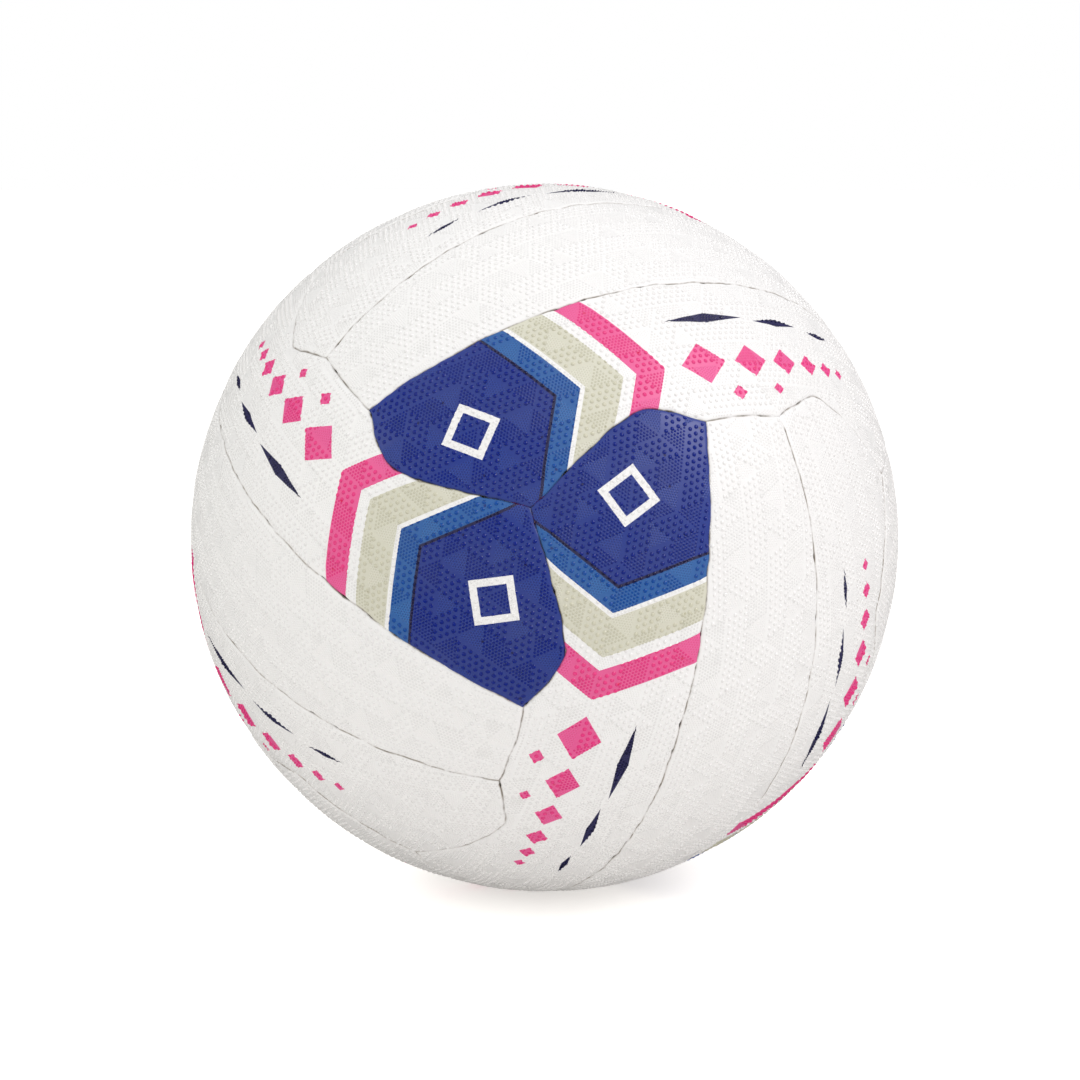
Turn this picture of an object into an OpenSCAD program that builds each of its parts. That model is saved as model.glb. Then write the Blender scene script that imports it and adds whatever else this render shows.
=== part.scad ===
// Size 5 netball, 18 panels sewn over an inflatable bladder.
// Millimetres, origin at the centre of the ball, +Z up.

/* [Ball] */
// Outside diameter over the grip pimples
ball_d = 223; // [200:1:240]

/* [Seam layout] */
// Angle across one strip at its middle, seen from the ball's centre
strip_angle = 23.7; // [22:0.1:25]
// Angle by which the end of a middle strip is crowned
end_crown_angle = 0.4; // [0:0.1:1]

/* [Cover panels] */
// Thickness of the rubber cover
cover_t = 1.3; // [1:0.1:2]
// Gap between two neighbouring panels at a seam
seam_gap = 0.3; // [0.1:0.05:0.6]
// Depth of the bevel along the edge of a panel
bevel_depth = 0.7; // [0.5:0.05:0.9]
// Width of the bevel along the edge of a panel
bevel_w = 1.2; // [0.6:0.1:1.6]

/* [Backing] */
// Thickness of the laminated cloth behind a panel
backing_t = 1; // [0.6:0.1:1.6]
// Thickness of the cloth where it turns in along a seam
fold_t = 1.2; // [0.8:0.1:2]
// Depth of the turned-in seam allowance below the backing
fold_depth = 2.2; // [2.1:0.1:3.5]

/* [Thread] */
// Diameter of the waxed sewing thread
thread_d = 0.8; // [0.5:0.05:1]
// Clearance between the thread and the cloth on each side of it
thread_gap = 0.05; // [0.02:0.01:0.15]
// Length of one stitch along the seam
stitch_pitch = 9; // [7:0.5:14]
// Height of the thread's wave from stitch to stitch
stitch_wave = 0.8; // [0:0.1:1]

/* [Bladder] */
// Thickness of the bladder's wall
bladder_t = 0.7; // [0.5:0.05:1.5]
// Diameter of the balance patch opposite the valve
balance_d = 34; // [20:1:36]
// Thickness of the balance patch
balance_t = 1.8; // [0.8:0.1:2]

/* [Valve] */
// Bore in the valve core for the pump needle
needle_bore_d = 2.2; // [2:0.05:2.6]
// Diameter of the funnel that leads the needle in
funnel_d = 3.8; // [3:0.1:4.4]
// Depth of the funnel
funnel_depth = 1; // [0.5:0.1:2]
// Diameter of the self-sealing core
core_d = 5.6; // [5:0.1:6.4]
// Length of the self-sealing core
core_len = 12.5; // [8:0.5:13]
// Diameter of the air passage below the core
passage_d = 3; // [2.6:0.1:4]
// Diameter of the seat's neck, which shows in the cover
neck_d = 9; // [8:0.1:10.5]
// Diameter of the seat's stem inside the bladder
stem_d = 12; // [11:0.5:16]
// Length of the stem below the bladder's outer face
stem_len = 11; // [11:0.5:16]
// Diameter of the seat's flange, bonded to the bladder
flange_d = 26; // [20:1:32]
// Thickness of the seat's flange
flange_t = 1.4; // [0.8:0.1:1.6]
// Diameter of the cloth ring bonded over the flange
patch_d = 36; // [33:1:38]
// Depth of the valve's face below the surface of the ball
valve_recess = 0.5; // [0.2:0.1:1]
// Depth of the core's face below the rim of the seat's neck
core_recess = 0.3; // [0:0.1:1]
// Clearance between the neck and the hole around it, on each side
neck_gap = 0.15; // [0.05:0.05:0.4]

/* [Lay] */
// Turn of the ball about X, the first of its three turns
lay_angle_x = 89.3; // [-180:0.1:180]
// Turn of the ball about Y, after the turn about X
lay_angle_y = 28; // [-180:0.1:180]
// Turn of the ball about Z, the last turn
lay_angle_z = -56; // [-180:0.1:180]

/* [Hidden] */
$fn = 120;
// Facets of the small round pieces of the valve
valve_fn = 64;

// Radii of the layers, from the outside inwards
ball_r = ball_d / 2;
cover_in_r = ball_r - cover_t;
backing_in_r = cover_in_r - backing_t;
fold_in_r = backing_in_r - fold_depth;
bladder_r = fold_in_r;
fold_gap = thread_d + 2 * thread_gap;
patch_t = fold_depth - flange_t;

// Overrun of the cutting shapes past the ball's surface, as a share of its radius
cap_share = 1.2;
cap_r = ball_r * cap_share;
// Overrun of a panel's bevel past the ball's surface, as a share of the bevel's depth
bevel_overrun_share = 1.5;
// Length of a cutter that passes right through the layers at the valve
cutter_len = stem_len + ball_r;

// A block is one sixth of the ball and holds three strips side by side.
// Its strips end on one pair of neighbours and lie alongside the other pair.
BLOCKS = ["top", "right", "left", "under", "far_left", "far_right"];
STRIPS = ["first", "middle", "last"];
// The block whose middle strip holds the valve, and the opposite one, inside which the balance patch lies
VALVE_BLOCK = "far_left";
valve_at = search([VALVE_BLOCK], BLOCKS)[0];
balance_at = (valve_at + len(BLOCKS) / 2) % len(BLOCKS);

// Half of a seam between two blocks, from the joint of two strips to the block's corner:
// how far along as a share of the corner's angle, and how far out as a share of the middle's.
corner_angle = atan(1 / sqrt(2));
middle_out = 45 - strip_angle * 1.5;
END_SHARES = [[0.37, 1.24], [0.46, 1.32], [0.555, 1.19], [0.78, 0.68]];

function unit(v) = v / norm(v);
function mirror_x(v) = [-v.x, v.y, v.z];
function mirror_z(v) = [v.x, v.y, -v.z];
// The same point on the neighbouring block, whose strips run the other way
function neighbour(v) = [v.y, v.z, v.x];
function backwards(list) = [for (i = [len(list) - 1:-1:0]) list[i]];

// Direction of a point on a block's end seam: angle along it from its middle, angle out of true
function end_point(along, out) =
    [sin(along), cos(along) * cos(45 + out), cos(along) * sin(45 + out)];
// Direction of a point on a strip's side seam, which is a great circle
function side_point(side, up) = [cos(up) * sin(side), cos(up) * cos(side), sin(up)];

joint_out = middle_out - end_crown_angle;
joint_up = atan(tan(45 + joint_out) * cos(strip_angle / 2));
JOINT = side_point(strip_angle / 2, joint_up);
MIDDLE = end_point(0, middle_out);
CORNER = end_point(corner_angle, 0);
// Strip end between the joint and the corner
END = [for (s = END_SHARES) end_point(s[0] * corner_angle, s[1] * middle_out)];

// Half of a block's end seam, from its middle to the corner, and the whole seam
HALF_SEAM = concat([MIDDLE, JOINT], END, [CORNER]);
END_SEAM = concat(backwards(HALF_SEAM), [for (i = [1:len(HALF_SEAM) - 1]) mirror_x(HALF_SEAM[i])]);

// Each strip's outline as two chains of directions with the same ends and the same count
OUTER_RIGHT = concat([JOINT], END, [for (v = END_SEAM) neighbour(v)],
    [for (i = [len(END) - 1:-1:0]) mirror_z(END[i])], [mirror_z(JOINT)]);
// Seam between an outer strip and the middle one, in as many steps as the outer strip's far side
side_steps = len(OUTER_RIGHT) - 1;
SIDE_SEAM = [for (i = [0:side_steps]) side_point(strip_angle / 2, joint_up * (1 - 2 * i / side_steps))];
OUTER_LEFT = SIDE_SEAM;
MIDDLE_RIGHT = concat([MIDDLE], SIDE_SEAM, [mirror_z(MIDDLE)]);
MIDDLE_LEFT = [for (v = MIDDLE_RIGHT) mirror_x(v)];

// Ring of an outline: down its right chain and back up its left chain
function outline(left, right) = concat(right, [for (i = [len(left) - 2:-1:1]) left[i]]);
// Direction in which each corner of the ring moves when all its sides move inwards by one
function inward(ring) = [for (i = [0:len(ring) - 1])
    let (before = ring[(i + len(ring) - 1) % len(ring)])
    let (after = ring[(i + 1) % len(ring)])
    let (n1 = unit(cross(before, ring[i])))
    let (n2 = unit(cross(ring[i], after)))
    (n1 + n2) / (1 + n1 * n2)];

// Solid between the centre of the ball and the last of a few rings.
// Each level is a radius and the distance by which its sides lie inside the outline.
module outline_solid(left, right, levels) {
    ring = outline(left, right);
    moves = inward(ring);
    n = len(ring);
    m = len(right);
    points = concat([[0, 0, 0]],
        [for (level = levels) for (i = [0:n - 1]) level[0] * ring[i] + level[1] * moves[i]]);
    last = 1 + n * (len(levels) - 1);
    cone = [for (i = [0:n - 1]) [0, 1 + i, 1 + (i + 1) % n]];
    sides = [for (k = [0:1:len(levels) - 2]) for (i = [0:n - 1])
        let (a = 1 + n * k + i)
        let (b = 1 + n * k + (i + 1) % n)
        each [[a, a + n, b], [b, a + n, b + n]]];
    cap = [for (i = [0:m - 2])
        let (l1 = last + (n - i) % n)
        let (l2 = last + (n - i - 1) % n)
        each concat(
            i == 0 ? [] : [[l1, last + i + 1, last + i]],
            i == m - 2 ? [] : [[l1, l2, last + i + 1]])];
    polyhedron(points = points, faces = concat(cone, sides, cap), convexity = 4);
}

// Solid inside an outline whose sides all point at the centre, set in by a distance at a radius
module cone_solid(left, right, inset, radius) {
    outline_solid(left, right, [[cap_r, inset * cap_r / radius]]);
}

module strip_cone(strip, inset, radius) {
    if (strip == 1) cone_solid(MIDDLE_LEFT, MIDDLE_RIGHT, inset, radius);
    else cone_solid(OUTER_LEFT, OUTER_RIGHT, inset, radius);
}

// Solid inside a strip's outline with its edges beveled at the ball's surface
module strip_bevel(strip) {
    low_r = ball_r - bevel_depth;
    high_r = ball_r + bevel_depth * bevel_overrun_share;
    low_inset = seam_gap / 2;
    high_inset = low_inset + bevel_w * (high_r - low_r) / bevel_depth;
    levels = [[low_r, low_inset], [high_r, high_inset], [cap_r, high_inset * cap_r / high_r]];
    if (strip == 1) outline_solid(MIDDLE_LEFT, MIDDLE_RIGHT, levels);
    else outline_solid(OUTER_LEFT, OUTER_RIGHT, levels);
}

// Turns a strip of the first block into its own place on the ball
module place_block(block) {
    rotate([lay_angle_x, lay_angle_y, lay_angle_z])
        rotate(a = -120 * (block % 3), v = [1, 1, 1])
            rotate([0, 0, block < 3 ? 0 : 180])
                children();
}
module place(block, strip) {
    place_block(block) rotate([0, strip == 2 ? 180 : 0, 0]) children();
}

// Stands a piece that is drawn along Z on the middle of a block, out from the centre
module on_block(block) {
    place_block(block) rotate([-90, 0, 0]) children();
}

module hollow_ball(outer_r, inner_r) {
    difference() {
        sphere(r = outer_r);
        sphere(r = inner_r);
    }
}

// Hole through everything outside the bladder where the valve's neck comes out
module neck_hole() {
    on_block(valve_at) cylinder(d = neck_d + 2 * neck_gap, h = cutter_len, $fn = valve_fn);
}

module cover_solid(block, strip) {
    place(block, strip) intersection() {
        hollow_ball(ball_r, cover_in_r);
        strip_bevel(strip);
    }
}

// Pimpled rubber panel
module cover(block, strip) {
    color("#f3f1ec")
    if (block == valve_at && strip == 1) difference() {
        cover_solid(block, strip);
        neck_hole();
    }
    else cover_solid(block, strip);
}

module backing_solid(block, strip) {
    place(block, strip) difference() {
        intersection() {
            hollow_ball(cover_in_r, fold_in_r);
            strip_cone(strip, fold_gap / 2, backing_in_r);
        }
        intersection() {
            sphere(r = backing_in_r);
            strip_cone(strip, fold_gap / 2 + fold_t, backing_in_r);
        }
    }
}

// Cloth laminate behind a panel, with its edges turned in along the seams
module backing(block, strip) {
    color("#d9d2bf")
    if (block == valve_at && strip == 1) difference() {
        backing_solid(block, strip);
        neck_hole();
    }
    else backing_solid(block, strip);
}

thread_r = thread_d / 2;
// Middle radius of the thread's wave, halfway down the turned-in edges
thread_mid_r = (backing_in_r + fold_in_r) / 2;
// Length of thread left out where two seams meet
thread_stop = thread_d * 2;
thread_sides = 5;

// Directions along a seam, about two for each stitch, with its corners kept
function along_seam(path) = [for (i = [0:len(path) - 2])
    let (reach = thread_mid_r * acos(min(1, path[i] * path[i + 1])) * PI / 180)
    let (steps = max(1, round(reach / (stitch_pitch / 2))))
    for (k = [0:steps - 1]) unit(path[i] * (1 - k / steps) + path[i + 1] * (k / steps))];
// The same path with its two ends drawn back from the seams that it meets
function drawn_back(path) = concat(
    [unit(path[0] + unit(path[1] - path[0]) * thread_stop / thread_mid_r)],
    [for (i = [1:len(path) - 1]) path[i]]);

// One thread along a seam, waving in and out between the turned-in edges
module thread_strand(seam) {
    back = drawn_back(seam);
    path = backwards(drawn_back(backwards(back)));
    dirs = concat(along_seam(path), [path[len(path) - 1]]);
    n = len(dirs);
    spine = [for (i = [0:n - 1])
        dirs[i] * (thread_mid_r + stitch_wave / 2 * (i % 2 == 0 ? 1 : -1))];
    rings = [for (i = [0:n - 1])
        let (ahead = unit(spine[min(n - 1, i + 1)] - spine[max(0, i - 1)]))
        let (across = unit(cross(ahead, dirs[i])))
        let (up = cross(across, ahead))
        for (j = [0:thread_sides - 1])
            let (a = 360 * j / thread_sides)
            spine[i] + thread_r * (cos(a) * across + sin(a) * up)];
    skin = [for (i = [0:n - 2]) for (j = [0:thread_sides - 1])
        let (a = i * thread_sides + j)
        let (b = i * thread_sides + (j + 1) % thread_sides)
        each [[a, b, a + thread_sides], [b, b + thread_sides, a + thread_sides]]];
    start = [[for (j = [thread_sides - 1:-1:0]) j]];
    end = [[for (j = [0:thread_sides - 1]) (n - 1) * thread_sides + j]];
    polyhedron(points = rings, faces = concat(skin, start, end), convexity = 6);
}

// The four threads that sew one block: two between its strips and one at each of its ends
module seam_thread(block) {
    color("#e8e4da") place_block(block) {
        thread_strand(SIDE_SEAM);
        thread_strand([for (v = SIDE_SEAM) mirror_x(v)]);
        thread_strand(END_SEAM);
        thread_strand([for (v = END_SEAM) mirror_z(v)]);
    }
}

// Inflatable bladder, a closed hollow ball with a hole for the valve's stem
module bladder() {
    color("#2b2b2d") difference() {
        hollow_ball(bladder_r, bladder_r - bladder_t);
        on_block(valve_at) cylinder(d = stem_d, h = cutter_len, $fn = valve_fn);
    }
}

// Where the faces of the seat and of its core lie, out from the centre
neck_top = ball_r - valve_recess;
core_top = neck_top - core_recess;
core_bottom = core_top - core_len;
stem_bottom = bladder_r - stem_len;

// Rubber seat of the valve: stem, flange and neck in one moulding
module valve_seat() {
    color("#3a3a3c") difference() {
        union() {
            on_block(valve_at) translate([0, 0, stem_bottom])
                cylinder(d = neck_d, h = neck_top - stem_bottom, $fn = valve_fn);
            intersection() {
                sphere(r = bladder_r + flange_t);
                on_block(valve_at) translate([0, 0, stem_bottom])
                    cylinder(d = stem_d, h = cutter_len, $fn = valve_fn);
            }
            intersection() {
                hollow_ball(bladder_r + flange_t, bladder_r);
                on_block(valve_at) cylinder(d = flange_d, h = cutter_len, $fn = valve_fn);
            }
        }
        on_block(valve_at) {
            translate([0, 0, core_bottom]) cylinder(d = core_d, h = cutter_len, $fn = valve_fn);
            cylinder(d = passage_d, h = cutter_len, $fn = valve_fn);
        }
    }
}

// Self-sealing core of the valve, with the bore that the needle opens
module valve_core() {
    color("#1c1c1e") on_block(valve_at) difference() {
        translate([0, 0, core_bottom]) cylinder(d = core_d, h = core_len, $fn = valve_fn);
        cylinder(d = needle_bore_d, h = cutter_len, $fn = valve_fn);
        translate([0, 0, core_top - funnel_depth])
            cylinder(d1 = needle_bore_d, d2 = funnel_d, h = funnel_depth, $fn = valve_fn);
    }
}

// Cloth ring that holds the valve's flange to the backing
module valve_patch() {
    color("#c9c2ae") difference() {
        intersection() {
            hollow_ball(backing_in_r, backing_in_r - patch_t);
            on_block(valve_at) cylinder(d = patch_d, h = cutter_len, $fn = valve_fn);
        }
        neck_hole();
    }
}

// Rubber patch on the bladder that balances the valve
module balance_patch() {
    color("#232325") intersection() {
        hollow_ball(bladder_r + balance_t, bladder_r);
        on_block(balance_at) cylinder(d = balance_d, h = cutter_len, $fn = valve_fn);
    }
}

function strip_name(piece, block, strip) = str(piece, "_", BLOCKS[block], "_", STRIPS[strip]);
function thread_name(block) = str("seam_thread_", BLOCKS[block]);

for (b = [0:5]) for (s = [0:2]) {
    cover(b, s);
    backing(b, s);
}
for (b = [0:5]) seam_thread(b);
bladder();
valve_seat();
valve_core();
valve_patch();
balance_patch();
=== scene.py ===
# %% [markdown]
# # A netball of 18 sewn panels
#
# The ball is a cover of eighteen moulded rubber panels, sewn edge to edge over a bladder. This lesson dresses
# its measured parts. The parts come in as a frame that never moves, and each new piece is put where the frame
# says. Everything is in metres, with the centre of the ball at the origin.

# %% Load the measured parts
import math

import bpy
import numpy as np
from mathutils import Matrix, Vector


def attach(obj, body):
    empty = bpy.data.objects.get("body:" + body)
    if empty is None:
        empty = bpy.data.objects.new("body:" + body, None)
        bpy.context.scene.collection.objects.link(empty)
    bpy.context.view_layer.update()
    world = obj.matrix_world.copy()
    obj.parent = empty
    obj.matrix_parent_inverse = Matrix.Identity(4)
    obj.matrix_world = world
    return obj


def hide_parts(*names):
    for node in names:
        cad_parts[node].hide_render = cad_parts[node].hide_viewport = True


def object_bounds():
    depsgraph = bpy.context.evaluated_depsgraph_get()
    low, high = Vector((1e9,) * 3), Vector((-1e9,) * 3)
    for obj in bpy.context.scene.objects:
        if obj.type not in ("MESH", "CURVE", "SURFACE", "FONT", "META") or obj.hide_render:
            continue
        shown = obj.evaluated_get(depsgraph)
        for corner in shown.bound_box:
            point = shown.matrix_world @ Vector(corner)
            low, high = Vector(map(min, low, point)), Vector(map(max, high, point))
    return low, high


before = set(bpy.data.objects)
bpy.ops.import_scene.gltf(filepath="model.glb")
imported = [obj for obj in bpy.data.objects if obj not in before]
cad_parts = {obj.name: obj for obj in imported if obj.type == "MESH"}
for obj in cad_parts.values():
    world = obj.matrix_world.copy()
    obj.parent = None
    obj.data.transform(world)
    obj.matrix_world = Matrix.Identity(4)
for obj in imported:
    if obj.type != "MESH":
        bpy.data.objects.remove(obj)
cad_low, cad_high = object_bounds()
mm = 0.001
print("parts in the frame:", len(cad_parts))

# %% [markdown]
# ## Read the main sizes from the frame
#
# A panel is a shell between two balls. Its thickness and the size of the ball are measured on the parts, so
# that the new panels fit them. The distance of a part's points from the centre is all that it takes.


# %% Measure the shells
def node_points(name):
    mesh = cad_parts[name].data
    points = np.empty(len(mesh.vertices) * 3)
    mesh.vertices.foreach_get("co", points)
    return points.reshape(-1, 3)


def node_radii(name):
    distance = np.linalg.norm(node_points(name), axis=1)
    return distance.min(), distance.max()


cover_in_r, ball_r = node_radii("cover_top_middle")
bladder_r = node_radii("bladder")[1]
print("ball radius %.4f, under the cover %.4f, bladder %.4f" % (ball_r, cover_in_r, bladder_r))

# %% [markdown]
# ## How the panels lie
#
# Six blocks of three strips cover the ball, as on the faces of a cube. The strips of one block end on one
# pair of neighbours and lie alongside the other pair. One block is drawn once, facing along Y with its strips
# along Z, and six turns put it in its places. A last turn lays the whole ball as it lies on the floor.

# %% Turn a block and a strip into their places
BLOCKS = ("top", "right", "left", "under", "far_left", "far_right")
STRIPS = ("first", "middle", "last")
MIDDLE = 1
LAY_DEGREES = (89.3, 28.0, -56.0)
DIAGONAL = Vector((1, 1, 1))


def turned(axis, degrees):
    return np.array(Matrix.Rotation(math.radians(degrees), 3, axis))


LAID = turned("Z", LAY_DEGREES[2]) @ turned("Y", LAY_DEGREES[1]) @ turned("X", LAY_DEGREES[0])


def block_turn(block):
    return LAID @ turned(DIAGONAL, -120 * (block % 3)) @ turned("Z", 180 * (block // 3))


def strip_turn(block, strip):
    return block_turn(block) @ turned("Y", 180 if strip == len(STRIPS) - 1 else 0)


facing = node_points("cover_top_middle").mean(axis=0)
facing /= np.linalg.norm(facing)
print("the top block faces", np.round(block_turn(0)[:, 1], 3), "and its part", np.round(facing, 3))

# %% [markdown]
# ## Seams as curves on the ball
#
# Two seams make the whole net. A side seam between two strips of a block is a straight cut, a great circle.
# An end seam between two blocks is bowed: it swells over the end of each strip and runs to the corner where
# three blocks meet. It is drawn as angles along and out, through a few chosen points, and then cut into even
# steps so that two panels that share a seam share its points too.

# %% Draw the seams
HALF_BLOCK = 45
STRIP_ANGLE = 23.7
END_CROWN = 0.4
CORNER_ANGLE = math.degrees(math.atan(1 / math.sqrt(2)))
MIDDLE_OUT = HALF_BLOCK - 1.5 * STRIP_ANGLE
END_SHARES = ((0.37, 1.24), (0.46, 1.32), (0.555, 1.19), (0.78, 0.68))
SEAM_STEP = 1.5 * mm
DRAWN_END_POINTS = 16
DRAWN_SIDE_POINTS = 80
DRAWN_CURVE_POINTS = 24


def end_point(along, out):
    """Direction of a place near an end seam: degrees along it, and degrees out from a straight edge."""
    a, b = np.radians(along), np.radians(HALF_BLOCK + out)
    return np.stack([np.sin(a), np.cos(a) * np.cos(b), np.cos(a) * np.sin(b)], axis=-1)


def side_point(side, up):
    """Direction of a place on a side seam: degrees to the side and degrees up from the block's middle."""
    s, u = np.radians(side), np.radians(up)
    return np.stack([np.cos(u) * np.sin(s), np.cos(u) * np.cos(s), np.sin(u)], axis=-1)


def even_steps(points):
    """The same curve of directions with its points at even steps of about SEAM_STEP."""
    run = np.concatenate([[0], np.cumsum(np.linalg.norm(np.diff(points, axis=0), axis=1))])
    count = round(run[-1] * ball_r / SEAM_STEP)
    at = np.linspace(0, run[-1], count + 1)
    moved = np.stack([np.interp(at, run, points[:, k]) for k in range(3)], axis=1)
    return moved / np.linalg.norm(moved, axis=1, keepdims=True)


def smooth_through(points):
    """A soft curve through a few points of the plane."""
    p = np.array(points, float)
    slope = np.gradient(p[:, 1], p[:, 0])
    curve = []
    for i in range(len(p) - 1):
        t = np.linspace(0, 1, DRAWN_CURVE_POINTS, endpoint=False)
        reach = p[i + 1, 0] - p[i, 0]
        rise = (2 * t**3 - 3 * t**2 + 1) * p[i, 1] + (3 * t**2 - 2 * t**3) * p[i + 1, 1]
        lean = (t**3 - 2 * t**2 + t) * slope[i] + (t**3 - t**2) * slope[i + 1]
        curve.append(np.stack([p[i, 0] + reach * t, rise + reach * lean], axis=1))
    return np.concatenate(curve + [p[-1:]])


half_strip = math.radians(STRIP_ANGLE / 2)
joint_slope = math.tan(math.radians(HALF_BLOCK + MIDDLE_OUT - END_CROWN)) * math.cos(half_strip)
joint_up = math.degrees(math.atan(joint_slope))
joint = side_point(STRIP_ANGLE / 2, joint_up)
joint_along = math.degrees(math.asin(joint[0]))
joint_out = math.degrees(math.atan2(joint[2], joint[1])) - HALF_BLOCK

reach = np.linspace(0, 1, DRAWN_END_POINTS)
middle_end = even_steps(end_point(reach * joint_along, MIDDLE_OUT - (MIDDLE_OUT - joint_out) * reach**2))
bow = [(a * CORNER_ANGLE, b * MIDDLE_OUT) for a, b in END_SHARES]
end_plan = [(joint_along, joint_out)] + bow + [(CORNER_ANGLE, 0)]
outer_end = even_steps(end_point(*smooth_through(end_plan).T))
side_seam = even_steps(side_point(STRIP_ANGLE / 2, np.linspace(joint_up, -joint_up, DRAWN_SIDE_POINTS)))
half_seam = np.concatenate([middle_end, outer_end[1:]])
print("points on half an end seam:", len(half_seam), "and on a side seam:", len(side_seam))

# %% [markdown]
# ## The two cutting patterns, laid flat
#
# A panel is moulded and cut flat, so it is modelled flat here and bent round the ball at the end. Flat places
# are lengths along and across the strip, measured round the ball. Each point of the outline also says how the
# edge behaves there: how deep it rolls in, how deep the cover sinks beside it, and how far along the seam it
# is, which tells where the stitches go.


# %% Lay the outlines flat
def flat(directions, centre_angle):
    """Flat places of directions on the ball, for a strip whose middle lies centre_angle to the side."""
    c, s = math.cos(math.radians(centre_angle)), math.sin(math.radians(centre_angle))
    x, y, z = directions.T
    across, out = c * x - s * y, s * x + c * y
    return ball_r * np.stack([np.arctan2(z, out), np.arcsin(across)], axis=1)


def mirrored(directions, axis):
    return directions * np.where(np.arange(3) == axis, -1, 1)


def run_of(points):
    """How far along the seam each point is."""
    return ball_r * np.concatenate([[0], np.cumsum(np.linalg.norm(np.diff(points, axis=0), axis=1))])


EDGE_ROLL = {"end": 0.42 * mm, "long": 0.52 * mm, "side": 0.38 * mm}
EDGE_SINK = {"end": 0.12 * mm, "long": 0.34 * mm, "side": 0.22 * mm}
BLEND_COUNT = 5
half_run = run_of(half_seam)[-1] - run_of(half_seam)
middle_run = half_run[: len(middle_end)]
end_run = half_run[len(middle_end) - 1 :]
side_run = run_of(side_seam)[-1] / 2 - abs(run_of(side_seam) - run_of(side_seam)[-1] / 2)
# The long edge of an outer strip is the whole end seam of a neighbour, so its axes change places.
long_seam = np.concatenate([half_seam[::-1], mirrored(half_seam, 0)[1:]])[:, [1, 2, 0]]
long_run = np.concatenate([half_run[::-1], half_run[1:]])


def blended(values):
    """The values round a closed outline, each averaged with its neighbours."""
    beside = BLEND_COUNT // 2
    ring = np.concatenate([values[-beside:], values, values[:beside]])
    return np.convolve(ring, np.ones(BLEND_COUNT) / BLEND_COUNT, "valid")


def make_outline(chains, centre_angle):
    """One closed outline: flat places, roll depth, sink depth and place along the seam of each point."""
    places, rolls, sinks, runs = [], [], [], []
    for directions, kind, run in chains:
        places.append(flat(directions, centre_angle)[:-1])
        rolls.append(np.full(len(run) - 1, EDGE_ROLL[kind]))
        sinks.append(np.full(len(run) - 1, EDGE_SINK[kind]))
        runs.append(run[:-1])
    roll, sink = blended(np.concatenate(rolls)), blended(np.concatenate(sinks))
    return {"at": np.concatenate(places), "roll": roll, "sink": sink, "run": np.concatenate(runs)}


outer_outline = make_outline(
    [
        (outer_end, "end", end_run),
        (long_seam, "long", long_run),
        (mirrored(outer_end, 2)[::-1], "end", end_run[::-1]),
        (side_seam[::-1], "side", side_run),
    ],
    STRIP_ANGLE,
)
middle_across = np.concatenate([mirrored(middle_end, 0)[::-1], middle_end[1:]])
middle_outline = make_outline(
    [
        (middle_across, "end", np.concatenate([middle_run[::-1], middle_run[1:]])),
        (side_seam, "side", side_run),
        (mirrored(middle_across, 2)[::-1], "end", np.concatenate([middle_run[::-1], middle_run[1:]])),
        (mirrored(side_seam, 0)[::-1], "side", side_run),
    ],
    0,
)
for name, outline in (("outer", outer_outline), ("middle", middle_outline)):
    size = np.round(np.ptp(outline["at"], axis=0) / mm, 1)
    print(name, "outline:", len(outline["at"]), "points,", size, "mm")

# %% [markdown]
# ## A blank for each pattern
#
# The blank starts as a flat disc whose rim points are laid on the outline. It is extruded to the cover's
# thickness, and its upper face is inset a few times, close together, where the edge will roll in. Straight
# cuts across the whole blank then give it enough points to bend round the ball.

# %% Helpers for working in edit mode
PIMPLE_H = 0.34 * mm
skin_r = ball_r - PIMPLE_H
thickness = skin_r - cover_in_r
INSETS = (0.12 * mm, 0.25 * mm, 0.38 * mm, 0.45 * mm)
CUT_STEP = 5.2 * mm
FACES_UP = 0.9


def start_clean():
    if bpy.context.object and bpy.context.object.mode != "OBJECT":
        bpy.ops.object.mode_set(mode="OBJECT")
    bpy.ops.object.select_all(action="DESELECT")


def pick_upper_faces(piece):
    """Selects the faces of a flat piece in edit mode that look straight up."""
    bpy.ops.mesh.select_all(action="DESELECT")
    bpy.ops.object.mode_set(mode="OBJECT")
    for face in piece.data.polygons:
        face.select = face.normal.z > FACES_UP
    bpy.ops.object.mode_set(mode="EDIT")


def mesh_arrays(piece):
    points = np.empty(len(piece.data.vertices) * 3)
    piece.data.vertices.foreach_get("co", points)
    return points.reshape(-1, 3), [tuple(f.vertices) for f in piece.data.polygons]


def set_points(mesh, points):
    mesh.vertices.foreach_set("co", points.astype(np.float32).ravel())
    mesh.update()


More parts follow.
